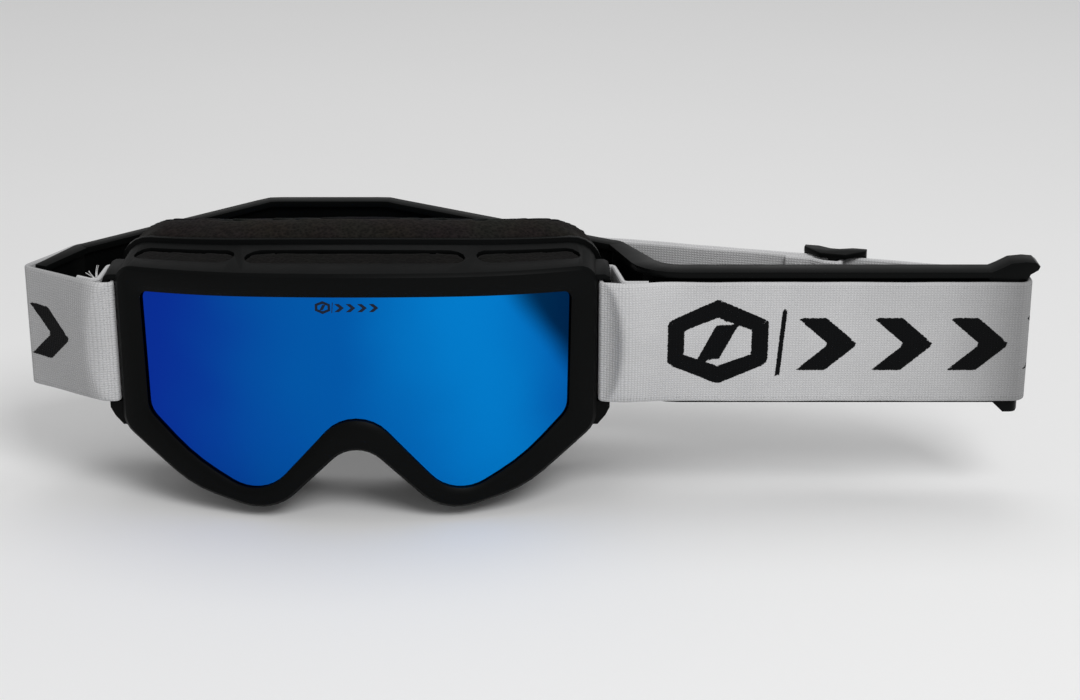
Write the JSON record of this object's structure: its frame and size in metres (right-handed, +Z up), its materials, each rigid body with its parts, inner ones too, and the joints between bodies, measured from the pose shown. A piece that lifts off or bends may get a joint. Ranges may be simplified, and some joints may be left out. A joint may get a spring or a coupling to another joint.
{
  "type": "motorcycle goggles",
  "caption": "Goggles with a curved mirror lens in a vented moulded frame, face foam, and a wide elastic strap with a slider, stretched on a moulded former.",
  "frame": {"origin": "middle of the face opening: symmetry plane, strap centre height, in the plane of the foam at the brow", "axes": "+X along the long stretched side of the strap (wearer's left), +Y from the lens towards the wearer's face, +Z up"},
  "size_m": [0.3637, 0.0932, 0.102],
  "materials": {
    "frame_tpu": "moulded satin black polyurethane",
    "mirror_lens": "blue mirror coating on polycarbonate",
    "foam": "open-cell polyurethane foam, brown-black",
    "facing": "brushed knit facing",
    "elastic": "woven elastic webbing, light grey-white",
    "thread": "polyester sewing thread",
    "former_abs": "moulded black ABS, satin gloss",
    "slider_acetal": "moulded black acetal"
  },
  "bodies": {
    "goggles": {"goggle_frame": "frame_tpu", "lens": "mirror_lens", "face_foam": "foam", "foam_facing": "facing", "top_vent_foam_left": "foam", "top_vent_foam_centre": "foam", "top_vent_foam_right": "foam", "cheek_vent_foam_left": "foam", "cheek_vent_foam_right": "foam", "strap_main": "elastic", "strap_return": "elastic", "strap_left": "elastic", "strap_ring": "slider_acetal", "tack_right": "thread", "tack_left": "thread", "tack_ring": "thread"},
    "former": {"strap_former": "former_abs"},
    "adjuster": {"strap_adjuster": "slider_acetal", "tack_adjuster": "thread"}
  },
  "joints": [
    {"name": "former_lift", "type": "slide", "parent": "goggles", "child": "former", "axis": [0, 0, 1], "range_m": [0, 0.055]},
    {"name": "adjuster_slide", "type": "slide", "parent": "goggles", "child": "adjuster", "axis": [-0.9644, 0.2644, 0], "range_m": [-0.03, 0.045], "deforming": ["strap_return"]}
  ]
}
